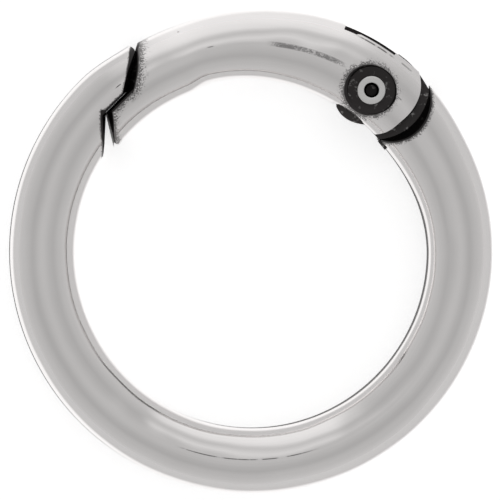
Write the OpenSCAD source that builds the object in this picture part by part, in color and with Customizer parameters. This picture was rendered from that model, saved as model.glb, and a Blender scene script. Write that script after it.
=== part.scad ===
// Spring gate ring clasp: a round cast ring with a sprung gate that swings inwards.
// The ring lies flat. Its centre is the origin in plan, and its underside is at z = 0.
// Places round the ring are polar: an angle clockwise from the top, and a radius.
// Places about the pivot are in the pivot's own axes: x runs from the pivot towards the
// gate's nose, and y runs away from the ring's centre.

/* [Ring] */
// Outside diameter of the ring body
ring_od = 25; // [20:0.5:40]
// Thickness of the round ring section
section_d = 3.4; // [2.8:0.1:4.2]
// How far the body swells inwards beside the hinge
body_swell_in = 0.36; // [0:0.02:0.5]
// How far the body swells outwards beside the hinge
body_swell_out = 0.11; // [0:0.01:0.2]

/* [Gate] */
// Width of the gate across its flat at the hinge
gate_hinge_w = 4.06; // [3.4:0.02:4.6]
// How far the gate stands outside the ring at the hinge
gate_proud = 0.3; // [0:0.02:0.5]
// How far the gate's nose is set back from the ring's outside
nose_setback = 0.22; // [0:0.02:0.4]
// How much slimmer the gate is on its inner side at its waist
waist = 0.24; // [0:0.01:0.3]
// How much thicker the nose is on its inner side than the waist
nose_swell = 0.21; // [0:0.01:0.3]
// How far the gate opens inwards, in degrees
gate_travel = 38; // [20:1:40]

/* [Hinge] */
// Angle of the pivot round the ring, clockwise from the top
pivot_at = 36.8; // [33:0.1:42]
// How far the pivot sits inside the middle of the gate
pivot_inset = 0.36; // [0.2:0.01:0.5]
// Radius of the gate's rounded hinge end
gate_end_r = 2.35; // [2.3:0.01:2.7]
// How far the centre of that rounded end lies outside the pivot
gate_end_offset = 0.34; // [0:0.01:0.4]
// Clearance between the gate's end and the body's hollow shoulder
shoulder_gap = 0.42; // [0.3:0.01:0.6]
// How far the shoulder's bevelled rim opens out
shoulder_bevel = 0.6; // [0.2:0.05:0.8]
// Depth of the shoulder's bevel below the top of the ring
shoulder_bevel_depth = 1.4; // [0.8:0.1:1.6]
// How far the shoulder's bevel is tipped towards the inside of the ring, in degrees
shoulder_bevel_tip = 8; // [0:1:10]
// Radius of the tongue's round tail about the pivot
tail_r = 2; // [1.9:0.01:2.1]
// Thickness of the tongue
tongue_t = 0.85; // [0.7:0.05:1.1]
// Clearance between each side of the tongue and the gate's cheek
cheek_gap = 0.05; // [0.03:0.01:0.1]
// Clearance between the tongue's round tail and the end of its slot
tail_gap = 0.08; // [0.05:0.01:0.2]
// How far the slot's window on the outer side reaches past the pivot
slot_window = 3.35; // [2.6:0.05:3.6]
// How far above the middle of the ring the upper lip of the window is cut back
window_top = 0.9; // [0.6:0.05:1.1]
// How far the tongue's outer edge stands proud of the gate
tongue_proud = 0.03; // [0:0.01:0.06]
// How far the tongue's outer edge dips where it runs into the body
tongue_dip = 0.58; // [0.5:0.02:0.8]

/* [Pivot rivet] */
// Outside diameter of the semi-tubular rivet's shank
rivet_d = 1.3; // [1.1:0.02:1.4]
// Diameter of the blind hole in the rivet's upper end
rivet_hole_d = 0.76; // [0.6:0.02:0.9]
// Depth of that hole below the rivet's upper head
rivet_hole_depth = 1.6; // [0.6:0.1:2.4]
// Diameter of the rolled head at each end
rivet_head_d = 1.48; // [1.42:0.02:1.7]
// Diameter of the sunk seat round each head
seat_d = 2.56; // [2.3:0.02:2.7]
// Depth of the seat below the top of the gate
seat_depth = 0.55; // [0.4:0.01:0.6]
// Height of the head above the floor of its seat
head_h = 0.32; // [0.2:0.01:0.4]
// Clearance of the tongue on the rivet, on the radius
tongue_play = 0.04; // [0.02:0.01:0.08]
// Clearance of the cheeks on the rivet, on the radius
cheek_play = 0.01; // [0.01:0.005:0.02]

/* [Nose joint] */
// Angle of the outer end of the joint
nose_outer_at = -27.4; // [-29:0.1:-26]
// Angle where the joint's outer face meets the step
step_outer_at = -37.6; // [-39:0.1:-36]
// Angle where the step meets the joint's inner face
step_inner_at = -46; // [-48:0.1:-45]
// Angle of the inner end of the body's face
body_inner_at = -56; // [-58:0.5:-54]
// Angle of the inner end of the gate's face, which leans away from the body's
gate_inner_at = -51.2; // [-53:0.2:-50]
// How far inside the middle of the ring the step lies
step_inset = 0.41; // [0.2:0.01:0.5]
// How far the step falls inwards from its outer corner to its inner one
step_fall = 0.09; // [0:0.01:0.3]
// Gap between the end faces of the joint
end_gap = 0.06; // [0.04:0.01:0.2]
// Gap between the stop faces of the step
stop_gap = 0.06; // [0.04:0.01:0.1]
// Width of the bevel on each end face
end_bevel = 0.26; // [0.1:0.02:0.4]
// Depth of that bevel below the top of the ring
end_bevel_depth = 0.7; // [0.3:0.05:0.9]
// Width of the bevel on each stop face
stop_bevel = 0.12; // [0.05:0.01:0.2]
// Depth of that bevel below the top of the ring
stop_bevel_depth = 0.3; // [0.1:0.05:0.5]
// How far the body's outside falls towards its tip
tip_fall = 0.14; // [0:0.01:0.3]
// Rounding of the body's outer tip, in plan
body_tip_r = 0.3; // [0.1:0.02:0.5]
// Rounding of the gate's inner tip, in plan
gate_tip_r = 0.25; // [0.1:0.01:0.4]

/* [Spring] */
// Distance of the spring's line inside the pivot, which is also the cam's base radius
spring_arm = 0.6; // [0.5:0.01:0.7]
// Slant of the spring towards the inside of the ring, in degrees
spring_slant = 6; // [4:0.5:8]
// Outside diameter of the coil
spring_od = 1.14; // [1:0.02:1.2]
// Diameter of the spring wire
spring_wire_d = 0.2; // [0.15:0.01:0.24]
// Number of turns
spring_turns = 8; // [6:1:10]
// Depth of the spring's hole, measured from the pivot
spring_hole_end = 6.2; // [5.6:0.1:6.4]
// Clearance round the coil in its hole
spring_play = 0.08; // [0.04:0.01:0.1]

/* [Spring plunger] */
// Distance of the cam's flat from the pivot, where the plunger bears
cam_face = 1.5; // [1.45:0.01:1.52]
// Length of the plunger's head
plunger_head_l = 1.05; // [0.9:0.05:1.2]
// Clearance round the plunger's stem inside the coil
stem_play = 0.07; // [0.04:0.01:0.15]
// Length of the plunger's stem
plunger_stem_l = 1.2; // [0.8:0.1:1.6]
// Clearance between touching faces of the spring, the plunger, the cam and the hole
seat_play = 0.02; // [0.01:0.01:0.03]

/* [Hidden] */

// Ring
outer_r = ring_od / 2;
half_t = section_d / 2;
inner_r = outer_r - section_d;
mid_r = outer_r - half_t;
reach = 2 * section_d;
curve_fn = 96;
ring_fn = 192;
section_sides = 48;
sweep_step = 2.5;

// Body: where its swelling starts and ends, and where its exact round part takes over
swell_in_from = 92;
swell_out_from = 64;
swell_to = 48;
plain_from = 92;
body_from = 36;
body_to = 336;
tip_from = 316;
tip_fall_to = 328;
lap = 0.3;
facet_skin = 0.01;

// Gate
gate_outer_r = outer_r + gate_proud;
gate_inner_r = gate_outer_r - gate_hinge_w;
nose_outer_r = outer_r - nose_setback;
gate_grow_from = -26;
gate_grow_to = 34;
nose_swell_from = -13;
nose_swell_to = -21;
gate_from = -62;
gate_to = 58;

// Hinge
pivot_r = gate_outer_r - gate_hinge_w / 2 - pivot_inset;
shoulder_r = gate_end_r + shoulder_gap;
slot_t = tongue_t + 2 * cheek_gap;
slot_outer_y = gate_hinge_w / 2 + pivot_inset;
slot_end_r = tail_r + tail_gap;
window_from = 22.8;
window_to = 36.2;
window_in_r = gate_outer_r - 0.4;

// Tongue: its web reaches from the pivot into the body, with a small lug at its root
web_to = 60;
web_dip_from = 39;
web_dip_to = 54;
web_inner_r = gate_inner_r + 0.46;
lug_from = 49;
lug_to = 52.8;
lug_r = gate_inner_r - 0.04;
cam_steps = 12;

// Rivet
seat_z = half_t - seat_depth;
rivet_end_z = seat_z + head_h;
head_round = (rivet_head_d - rivet_hole_d) / 8;

// Spring and plunger, as distances along the spring's line from the pivot
hole_from = cam_face - 0.2;
head_r = spring_od / 2;
plunger_stem_d = spring_od - 2 * spring_wire_d - 2 * stem_play;
head_from = cam_face + seat_play;
head_to = head_from + plunger_head_l;
coil_from = head_to + seat_play;
coil_to = spring_hole_end - seat_play;
coil_r = (spring_od - spring_wire_d) / 2;
coil_sides = 8;
coil_steps = 18;

// A point in plan, from an angle clockwise from the top and a radius
function at(t, r) = [r * sin(t), r * cos(t)];

// Rises smoothly from 0 to 1 as x goes from a to b, whichever of the two is larger
function ease(x, a, b) =
    let (e = min(1, max(0, (x - a) / (b - a))))
    e * e * (3 - 2 * e);

function unit(v) = v / norm(v);

// Angles from a to b, both included, no further apart than the sweep's step
function spread(a, b) = let (n = ceil((b - a) / sweep_step)) [for (i = [0 : n]) a + (b - a) * i / n];

// The body's inner and outer radius at an angle: swollen beside the hinge, then plain,
// then falling on the outside towards the tip
function body_inner(t) = inner_r - body_swell_in * ease(t, swell_in_from, swell_to);
function body_outer(t) =
    outer_r
    + body_swell_out * ease(t, swell_out_from, swell_to)
    - tip_fall * ease(t, tip_from, tip_fall_to);

// The gate's inner and outer radius: wide at the hinge, slim at the waist, thicker at the nose
function gate_outer(t) =
    nose_outer_r
    + (gate_outer_r - nose_outer_r) * ease(t, gate_grow_from, gate_grow_to);
function gate_inner(t) =
    gate_inner_r
    + waist * ease(t, gate_grow_to, nose_swell_from)
    - nose_swell * ease(t, nose_swell_from, nose_swell_to);

// The tongue's outer radius: proud of the gate, then dipping into the body
function web_outer(t) = gate_outer_r + tongue_proud - tongue_dip * ease(t, web_dip_from, web_dip_to);

// A closed tube of oval sections between two radii that each given angle has, with a skin
// that stands outside them all round
module oval_tube(angles, inner, outer, skin = 0) {
    n = section_sides;
    last = (len(angles) - 1) * n;
    points = [
        for (i = [0 : len(angles) - 1], k = [0 : n - 1])
            let (
                middle = (inner[i] + outer[i]) / 2,
                half_w = (outer[i] - inner[i]) / 2 + skin,
                p = at(angles[i], middle + half_w * cos(360 * k / n))
            )
            [p.x, p.y, half_t + (half_t + skin) * sin(360 * k / n)]
    ];
    sides = [
        for (i = [0 : len(angles) - 2], k = [0 : n - 1])
            let (a = i * n + k, b = i * n + (k + 1) % n)
            each [[a, a + n, b + n], [a, b + n, b]]
    ];
    ends = [[for (k = [0 : n - 1]) k], [for (k = [n - 1 : -1 : 0]) last + k]];
    polyhedron(points, concat(sides, ends), convexity = 4);
}

// Places what is drawn in the pivot's axes, at the middle of the ring's thickness
module at_pivot() {
    translate(concat(at(pivot_at, pivot_r), [half_t]))
        rotate([0, 0, -pivot_at])
            mirror([1, 0, 0])
                children();
}

// Places what is drawn along z on the spring's line, with the pivot beside z = 0
module on_spring_line() {
    at_pivot()
        rotate([0, 0, -spring_slant])
            translate([0, -spring_arm, 0])
                rotate([0, 90, 0])
                    children();
}

// ---- Nose joint ----

// Where two lines cross, each given as a point and a direction
function crossing(p, d, q, e) = p + d * ((q - p).x * e.y - (q - p).y * e.x) / (d.x * e.y - d.y * e.x);

// The joint's zigzag in plan, on the body's side (-1) or the gate's (+1), from the outside
// inwards. The end faces move apart sideways, and the stop faces square to themselves.
function joint_line(side) =
    let (
        p1 = at(nose_outer_at, outer_r),
        p2 = at(step_outer_at, mid_r - step_inset + step_fall / 2),
        p3 = at(step_inner_at, mid_r - step_inset - step_fall / 2),
        p4 = at(side < 0 ? body_inner_at : gate_inner_at, inner_r),
        outer = unit(p2 - p1),
        stop = unit(p3 - p2),
        inner = unit(p4 - p3),
        ends_apart = [side * end_gap / 2, 0],
        stops_apart = [-stop.y, stop.x] * side * stop_gap / 2
    )
    [
        p1 + ends_apart - outer * reach,
        crossing(p1 + ends_apart, outer, p2 + stops_apart, stop),
        crossing(p3 + ends_apart, inner, p2 + stops_apart, stop),
        p3 + ends_apart + inner * reach
    ];

// Cuts away all of the ring on one side of the joint's zigzag, out to some far points
module beyond_joint(side, far) {
    translate([0, 0, -reach / 2])
        linear_extrude(section_d + reach)
            polygon(concat(joint_line(side), far));
}

// Bevels the edges of one face of the joint, above and below. The face runs from a to b,
// with the metal on its left.
module face_bevel(a, b, width, depth) {
    d = unit(b - a);
    slope = depth / width;
    for (side = [0, 1])
        translate([0, 0, half_t])
            mirror([0, 0, side])
                translate([a.x, a.y, 0])
                    rotate([90, 0, atan2(d.x, -d.y)])
                        linear_extrude(norm(b - a))
                            polygon([
                                [-lap, half_t - depth - lap * slope],
                                [reach, half_t - depth + reach * slope],
                                [-lap, half_t - depth + reach * slope]
                            ]);
}

// Bevels all three faces of the joint, whose corners are given in order with the metal on
// the left
module joint_bevels(line) {
    face_bevel(line[0], line[1], end_bevel, end_bevel_depth);
    face_bevel(line[1], line[2], stop_bevel, stop_bevel_depth);
    face_bevel(line[2], line[3], end_bevel, end_bevel_depth);
}

// What rounding a corner at p takes away, between edges that leave it in directions a and b
module corner_round(p, a, b, r) {
    half = acos(a * b) / 2;
    m = unit(a + b);
    l = r / tan(half);
    centre = p + m * r / sin(half);
    translate([0, 0, -reach / 2])
        linear_extrude(section_d + reach)
            difference() {
                polygon([p - m * r, p + a * l - m * r, p + a * l, centre, p + b * l, p + b * l - m * r]);
                translate(centre)
                    circle(r = r, $fn = curve_fn);
            }
}

// ---- Ring body ----

// The body's hollow shoulder about the gate's end, with a bevelled rim on both faces. The
// bevel's cone is twice as tall as the bevel is deep.
module shoulder_hollow() {
    cone_r = shoulder_r + 2 * shoulder_bevel;
    cone_h = 2 * shoulder_bevel_depth;
    at_pivot()
        translate([0, gate_end_offset, 0]) {
            cylinder(r = shoulder_r, h = section_d + reach, center = true, $fn = curve_fn);
            for (side = [0, 1])
                mirror([0, 0, side])
                    translate([0, 0, half_t - shoulder_bevel_depth])
                        rotate([shoulder_bevel_tip, 0, 0])
                            cylinder(r1 = shoulder_r, r2 = cone_r, h = cone_h, $fn = curve_fn);
        }
}

// The plain round part of the ring, from beside the hinge round to the tip
module plain_ring() {
    translate([0, 0, half_t])
        rotate([0, 0, 90 - tip_from - lap])
            rotate_extrude(angle = tip_from - plain_from + 2 * lap, $fn = ring_fn)
                translate([mid_r, 0])
                    circle(d = section_d, $fn = curve_fn);
}

// A part of the ring with its own swelling or taper. The plain part runs into it, so its
// flat facets stand a hair outside the true curve.
module shaped_ring(from, to) {
    angles = spread(from, to);
    oval_tube(angles, [for (t = angles) body_inner(t)], [for (t = angles) body_outer(t)], facet_skin);
}

// Rounds the body's outer tip, in plan
module body_tip_round() {
    line = joint_line(-1);
    face = unit(line[1] - line[0]);
    tip_r = body_outer(body_to);
    p = crossing(line[0], face, at(nose_outer_at, tip_r), at(nose_outer_at + 90, 1));
    corner_round(p, face, at(nose_outer_at - 90, 1), body_tip_r);
}

// The cam's curve in the spring's axes: the involute of a circle of the spring's arm, which
// pushes the plunger back evenly as the gate turns
function cam_point(turn) =
    let (x = cam_face + spring_arm * turn * PI / 180, y = -spring_arm)
    [x * cos(turn) + y * sin(turn), y * cos(turn) - x * sin(turn)];

// The tongue's round tail, with the flat and the curve of the cam on its nose side
module tongue_tail() {
    tip = cam_point(gate_travel);
    intersection() {
        circle(r = tail_r, $fn = curve_fn);
        rotate(-spring_slant)
            polygon(concat(
                [[-reach, reach], [cam_face, reach]],
                [for (i = [0 : cam_steps]) cam_point(gate_travel * i / cam_steps)],
                [[tip.x, -reach], [-reach, -reach]]
            ));
    }
}

// The web that joins the tail to the body, and the lug at its root
module tongue_web() {
    angles = spread(pivot_at, web_to);
    back = [for (i = [len(angles) - 1 : -1 : 0]) angles[i]];
    polygon(concat([for (t = angles) at(t, web_outer(t))], [for (t = back) at(t, web_inner_r)]));
    polygon([
        at(lug_from, web_inner_r + lap), at(lug_to, web_inner_r + lap),
        at(lug_to, lug_r), at(lug_from, lug_r)
    ]);
}

// The flat tongue that runs from the body into the gate's slot
module tongue() {
    at_pivot()
        linear_extrude(tongue_t, center = true)
            tongue_tail();
    translate([0, 0, half_t])
        linear_extrude(tongue_t, center = true)
            tongue_web();
}

module ring_body() {
    color("silver")
        difference() {
            union() {
                difference() {
                    union() {
                        plain_ring();
                        shaped_ring(body_from, plain_from);
                        shaped_ring(tip_from, body_to);
                    }
                    beyond_joint(-1, [at(0, 0), at(0, outer_r + reach)]);
                    joint_bevels([for (i = [3 : -1 : 0]) joint_line(-1)[i]]);
                    body_tip_round();
                    shoulder_hollow();
                }
                tongue();
            }
            at_pivot()
                cylinder(r = rivet_d / 2 + tongue_play, h = reach, center = true, $fn = curve_fn);
        }
}

// ---- Gate ----

module gate_tube() {
    angles = spread(gate_from, gate_to);
    oval_tube(angles, [for (t = angles) gate_inner(t)], [for (t = angles) gate_outer(t)]);
}

// All that lies past the gate's rounded hinge end
module beyond_hinge_end() {
    at_pivot()
        difference() {
            translate([-2 * reach, -reach, -reach])
                cube([2 * reach, 2 * reach, 2 * reach]);
            translate([0, gate_end_offset, 0])
                cylinder(r = gate_end_r, h = 3 * reach, center = true, $fn = curve_fn);
        }
}

// The slot between the gate's two cheeks. It is open at the hinge, its round end follows
// the tongue's tail, and it leans out into a window on the outer side.
module cheek_slot() {
    lean = (slot_window - slot_end_r) / slot_outer_y;
    at_pivot()
        linear_extrude(slot_t, center = true) {
            circle(r = slot_end_r, $fn = curve_fn);
            polygon([
                [-reach, -reach],
                [0, -reach],
                [0, 0],
                [slot_end_r, 0],
                [slot_end_r + lean * reach, reach],
                [-reach, reach]
            ]);
        }
}

// Cuts back the upper lip of the slot's window, between the slot's end and the tongue
module window_lip() {
    angles = spread(window_from, window_to);
    back = [for (i = [len(angles) - 1 : -1 : 0]) angles[i]];
    translate([0, 0, half_t])
        linear_extrude(window_top)
            polygon(concat([for (t = angles) at(t, window_in_r)], [for (t = back) at(t, outer_r + reach)]));
}

// The rivet's hole through both cheeks, and the sunk seats of its heads
module rivet_room() {
    at_pivot() {
        cylinder(r = rivet_d / 2 + cheek_play, h = reach, center = true, $fn = curve_fn);
        for (side = [0, 1])
            mirror([0, 0, side])
                translate([0, 0, seat_z])
                    cylinder(d = seat_d, h = reach, $fn = curve_fn);
    }
}

// The spring's hole, which starts inside the round end of the slot
module spring_hole() {
    on_spring_line()
        translate([0, 0, hole_from])
            cylinder(r = spring_od / 2 + spring_play, h = spring_hole_end - hole_from, $fn = curve_fn);
}

// Rounds the gate's inner tip, in plan
module gate_tip_round() {
    line = joint_line(1);
    face = unit(line[2] - line[3]);
    tip_r = gate_inner(gate_inner_at);
    p = crossing(line[3], face, at(gate_inner_at, tip_r), at(gate_inner_at + 90, 1));
    corner_round(p, face, at(gate_inner_at + 90, 1), gate_tip_r);
}

module gate() {
    color("gainsboro")
        difference() {
            gate_tube();
            beyond_joint(1, [
                at(body_inner_at - 45, outer_r + reach),
                at(nose_outer_at - 30, outer_r + reach)
            ]);
            joint_bevels(joint_line(1));
            gate_tip_round();
            beyond_hinge_end();
            cheek_slot();
            window_lip();
            rivet_room();
            spring_hole();
        }
}

// ---- Pivot rivet ----

// The section of one half of the rivet, from its middle to its rounded head
module rivet_half_section() {
    head_edge = rivet_head_d / 2;
    square([rivet_d / 2, seat_z + seat_play]);
    translate([0, seat_z + seat_play]) {
        square([head_edge - head_round, head_h - seat_play]);
        square([head_edge, head_h - seat_play - head_round]);
    }
    translate([head_edge - head_round, rivet_end_z - head_round])
        circle(r = head_round, $fn = curve_fn);
}

// A rivet with a head at each end, and a blind hole in its upper end where it was rolled over
module pivot_rivet() {
    color("whitesmoke")
        at_pivot()
            difference() {
                rotate_extrude($fn = curve_fn)
                    for (side = [0, 1])
                        mirror([0, side])
                            rivet_half_section();
                translate([0, 0, rivet_end_z - rivet_hole_depth])
                    cylinder(d = rivet_hole_d, h = reach, $fn = curve_fn);
            }
}

// ---- Spring and plunger ----

// A coil of round wire along z, as rings of points square to the helix
module coil(from, to) {
    pitch = (to - from - spring_wire_d) / spring_turns;
    wire_r = spring_wire_d / 2;
    rise = atan(pitch / (2 * PI * coil_r));
    rings = spring_turns * coil_steps;
    points = [
        for (i = [0 : rings], k = [0 : coil_sides - 1])
            let (
                a = 360 * i / coil_steps,
                b = 360 * k / coil_sides,
                r = coil_r + wire_r * cos(b),
                side = wire_r * sin(b) * sin(rise)
            )
            [
                r * cos(a) + side * sin(a),
                r * sin(a) - side * cos(a),
                from + wire_r + pitch * i / coil_steps + wire_r * sin(b) * cos(rise)
            ]
    ];
    n = coil_sides;
    sides = [
        for (i = [0 : rings - 1], k = [0 : n - 1])
            let (p = i * n + k, q = i * n + (k + 1) % n)
            each [[p, q + n, p + n], [p, q, q + n]]
    ];
    ends = [[for (k = [n - 1 : -1 : 0]) k], [for (k = [0 : n - 1]) rings * n + k]];
    polyhedron(points, concat(sides, ends), convexity = 10);
}

module gate_spring() {
    color("dimgray")
        on_spring_line()
            coil(coil_from, coil_to);
}

module spring_plunger() {
    color("darkgray")
        on_spring_line() {
            translate([0, 0, head_from])
                cylinder(r = head_r, h = plunger_head_l, $fn = curve_fn);
            translate([0, 0, head_to - lap])
                cylinder(d = plunger_stem_d, h = plunger_stem_l + lap, $fn = curve_fn);
        }
}

ring_body();
gate();
pivot_rivet();
gate_spring();
spring_plunger();
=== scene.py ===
"""Looks of a round spring gate ring clasp in antiqued silver.

The ring body and the gate are smooth oval tubes, cut with shaped cutters where the real
castings are cut: the stepped nose joint, the hollow shoulder, the slot for the tongue and
the sunk rivet seats. Lengths are millimetres until a mesh is made, and heights are from
the ring's middle. Places round the ring are polar: an angle in degrees clockwise from the
top, and a radius.
"""

import logging
import math
from collections.abc import Sequence
from dataclasses import dataclass
from enum import Enum

import bpy
import numpy as np
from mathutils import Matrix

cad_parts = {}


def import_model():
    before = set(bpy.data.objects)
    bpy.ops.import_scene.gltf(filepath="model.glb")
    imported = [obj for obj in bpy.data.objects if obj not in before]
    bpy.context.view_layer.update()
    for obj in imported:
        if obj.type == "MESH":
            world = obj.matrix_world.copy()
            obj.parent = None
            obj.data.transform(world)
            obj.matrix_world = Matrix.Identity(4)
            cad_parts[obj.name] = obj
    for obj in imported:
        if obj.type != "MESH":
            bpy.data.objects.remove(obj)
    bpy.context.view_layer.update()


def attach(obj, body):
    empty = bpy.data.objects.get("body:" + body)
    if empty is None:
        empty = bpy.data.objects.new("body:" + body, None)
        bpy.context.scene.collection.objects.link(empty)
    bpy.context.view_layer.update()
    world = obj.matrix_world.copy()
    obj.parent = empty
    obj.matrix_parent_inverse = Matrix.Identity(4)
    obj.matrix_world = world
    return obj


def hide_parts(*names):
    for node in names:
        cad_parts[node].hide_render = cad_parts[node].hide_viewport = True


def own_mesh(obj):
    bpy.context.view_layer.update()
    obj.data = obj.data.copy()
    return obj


LOG = logging.getLogger("ring_clasp")
MM = 0.001
LIP_SLOPE, LIP_CURVE = 0.7, 0.3
SKIN_AGREES = 0.8
Array = np.ndarray
Piece = bpy.types.Object
Span = tuple[float, float]
Triple = tuple[float, float, float]
Colour = tuple[float, float, float]
Shape = tuple[Array, list]
Levels = list[tuple[float, Array]]
Profile = Sequence[Span]


class Slot(Enum):
    """The record's material slots."""

    RING = "ring_silver"
    GATE = "gate_silver"
    RIVET = "rivet_steel"
    SPRING = "spring_steel"
    PLUNGER = "plunger_steel"


class Cut(Enum):
    """What a shaped cutter does to the piece it meets."""

    AWAY = "DIFFERENCE"
    JOIN = "UNION"


class Face(Enum):
    """Material indices of a casting's faces."""

    SKIN = 0
    CUT = 1
    TONGUE = 2
    SEAT = 3


def at(t: Array | float, r: Array | float) -> Array:
    """A point in plan: r times (sin t, cos t), with t clockwise from the top."""
    a = np.radians(t)
    return np.stack(np.broadcast_arrays(r * np.sin(a), r * np.cos(a)), axis=-1)


def spoke(a: Array, r: Array | float = 1.0) -> Array:
    """Points at angles in radians: r times (cos a, sin a)."""
    return np.stack([r * np.cos(a), r * np.sin(a)], axis=-1)


def full_turn(count: int) -> Array:
    """Angles in radians evenly round a circle."""
    return np.linspace(0.0, 2.0 * np.pi, count, endpoint=False)


def ease(x: Array | float, a: float, b: float) -> Array:
    """Rises from 0 to 1 as x goes from a to b: 3e^2 - 2e^3 of the clipped share e."""
    e = np.clip((np.asarray(x, float) - a) / (b - a), 0.0, 1.0)
    return e * e * (3.0 - 2.0 * e)


def opened(z: float, start: float) -> float:
    """Share of a lip's width at a height: 0.7 e + 0.3 e^2, e from the start to the top."""
    e = max(0.0, (abs(z) - start) / (PLAN.half_t - start))
    return LIP_SLOPE * e + LIP_CURVE * e * e


def unit(v: Array) -> Array:
    """The vector at length 1."""
    return v / np.linalg.norm(v)


def level(v: Array) -> Triple:
    """A vector in plan as plain numbers, with no height."""
    return float(v[0]), float(v[1]), 0.0


def crossing(p: Array, d: Array, q: Array, e: Array) -> Array:
    """Where the line through p along d meets the line through q along e."""
    w = q - p
    return p + d * (w[0] * e[1] - w[1] * e[0]) / (d[0] * e[1] - d[1] * e[0])


def fillet(p: Array, a: Array, b: Array, r: float, count: int = 7) -> Array:
    """Rounds a corner of an outline with an arc that touches both edges.

    Args:
        p: the corner.
        a: direction from the corner back along the edge before it.
        b: direction from the corner along the edge after it.
        r: radius of the arc.
        count: number of points on it.

    Returns:
        The arc's points, in the outline's order.
    """
    a, b = unit(a), unit(b)
    half = math.acos(float(np.clip(a @ b, -1.0, 1.0))) / 2.0
    centre = p + unit(a + b) * r / math.sin(half)
    start, end = p + a * r / math.tan(half) - centre, p + b * r / math.tan(half) - centre
    s = np.linspace(0.0, 1.0, count)[:, None]
    w = (1.0 - s) * start + s * end
    return centre + r * w / np.linalg.norm(w, axis=1, keepdims=True)


def ccw(outline: Array) -> Array:
    """The outline turned counter-clockwise, by the sign of its area."""
    x, y = outline[:, 0], outline[:, 1]
    area = np.sum(x * np.roll(y, -1) - y * np.roll(x, -1))
    return outline if area > 0.0 else outline[::-1]


def mirrored(heights: Array) -> list[float]:
    """Rising heights above the middle, with the same heights below it first."""
    below = -heights[::-1]
    return np.concatenate([below[below < 0.0], heights]).tolist()


@dataclass(frozen=True)
class Plan:
    """Sizes that the pieces share, in millimetres and degrees.

    The gate opens by `opens`, and its spring's line is turned from the pivot's axes by
    `slant`. Cutters reach `far` past the outside and `over` past the top and bottom.
    """

    outer_r: float = 12.5
    half_t: float = 1.7
    mid_r: float = 10.8
    inner_r: float = 9.1
    gate_outer_r: float = 12.8
    gate_w: float = 4.06
    pivot_at: float = 36.8
    pivot_r: float = 10.41
    end_r: float = 2.35
    end_offset: float = 0.34
    cam_r: float = 0.6
    opens: float = 38.0
    slant: float = math.radians(-6.0)
    far: float = 6.8
    over: float = 0.1

    @property
    def gate_inner_r(self) -> float:
        """The gate's inner radius at the hinge."""
        return self.gate_outer_r - self.gate_w

    @property
    def pivot(self) -> Array:
        """The pivot in plan."""
        return at(self.pivot_at, self.pivot_r)

    @property
    def nose_way(self) -> Array:
        """Direction from the pivot towards the gate's nose."""
        return at(self.pivot_at - 90.0, 1.0)

    @property
    def out_way(self) -> Array:
        """Direction from the pivot away from the ring's centre."""
        return at(self.pivot_at, 1.0)

    @property
    def end_centre(self) -> Array:
        """Centre of the gate's rounded hinge end."""
        return self.pivot + self.out_way * self.end_offset

    def from_pivot(self, xy: Array) -> Array:
        """Points given in the pivot's axes, x to the nose and y outwards, in plan."""
        return self.pivot + xy[..., :1] * self.nose_way + xy[..., 1:2] * self.out_way

    def spring_line(self) -> tuple[Array, Array, Array]:
        """A point on the spring's line beside the pivot, its direction and its side."""
        c, s = math.cos(self.slant), math.sin(self.slant)
        way = c * self.nose_way + s * self.out_way
        side = -s * self.nose_way + c * self.out_way
        return self.pivot - side * self.cam_r, way, side

    def by_spring(self, u: Array, v: Array, w: Array) -> Array:
        """Points u beside the spring's line, v above it and w along it from the pivot."""
        start, way, side = self.spring_line()
        plan = start + w[..., None] * way + u[..., None] * side
        return np.concatenate([plan, (self.half_t + v)[..., None]], axis=-1).reshape(-1, 3)


PLAN = Plan()


def rolled(rows: int, around: int) -> list:
    """Faces of a grid that closes round on itself, with a cap on each end.

    Args:
        rows: number of rings of points.
        around: number of points in each ring.

    Returns:
        The faces, as lists of point numbers.
    """
    i, k = np.meshgrid(np.arange(rows - 1), np.arange(around), indexing="ij")
    a, b = i * around + k, i * around + (k + 1) % around
    quads = np.stack([a, b, b + around, a + around], axis=-1).reshape(-1, 4)
    ring = np.arange(around)
    return quads.tolist() + [ring[::-1].tolist(), (ring + (rows - 1) * around).tolist()]


def loft(levels: Levels) -> Shape:
    """A closed solid through counter-clockwise outlines at rising heights."""
    points = [np.column_stack([outline, np.full(len(outline), z)]) for z, outline in levels]
    return np.concatenate(points), rolled(len(levels), len(levels[0][1]))


def circles(profile: Profile, centre: Array, around: int = 120) -> Levels:
    """The levels of a shape turned about a vertical line.

    Args:
        profile: radius and height pairs from the bottom up.
        centre: the line's place in plan.
        around: number of points round each circle.

    Returns:
        Heights and outlines.
    """
    return [(z, centre + spoke(full_turn(around), r)) for r, z in profile]


def both_ways(profile: Profile) -> Profile:
    """A profile above the ring's middle, mirrored below it."""
    return [(r, -z) for r, z in profile[::-1]] + list(profile)


def new_piece(name: str, shape: Shape, material: Face = Face.SKIN) -> Piece:
    """Makes an object with as many material slots as a carved casting needs.

    Args:
        name: the object's name.
        shape: its points in millimetres and its faces.
        material: the material index of all its faces, which carving keeps.

    Returns:
        The object, linked into the scene.
    """
    points, faces = shape
    mesh = bpy.data.meshes.new(name)
    mesh.from_pydata((points * MM).tolist(), [], faces)
    for _ in Face:
        mesh.materials.append(None)
    kind = np.full(len(faces), material.value, np.int32)
    mesh.polygons.foreach_set("material_index", kind)
    piece = bpy.data.objects.new(name, mesh)
    bpy.context.scene.collection.objects.link(piece)
    return piece


def lofted(name: str, levels: Levels, material: Face = Face.CUT) -> Piece:
    """A shaped tool or piece through outlines at heights from the ring's middle."""
    placed = [(PLAN.half_t + z, ccw(outline)) for z, outline in levels]
    return new_piece(name, loft(placed), material)


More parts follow.
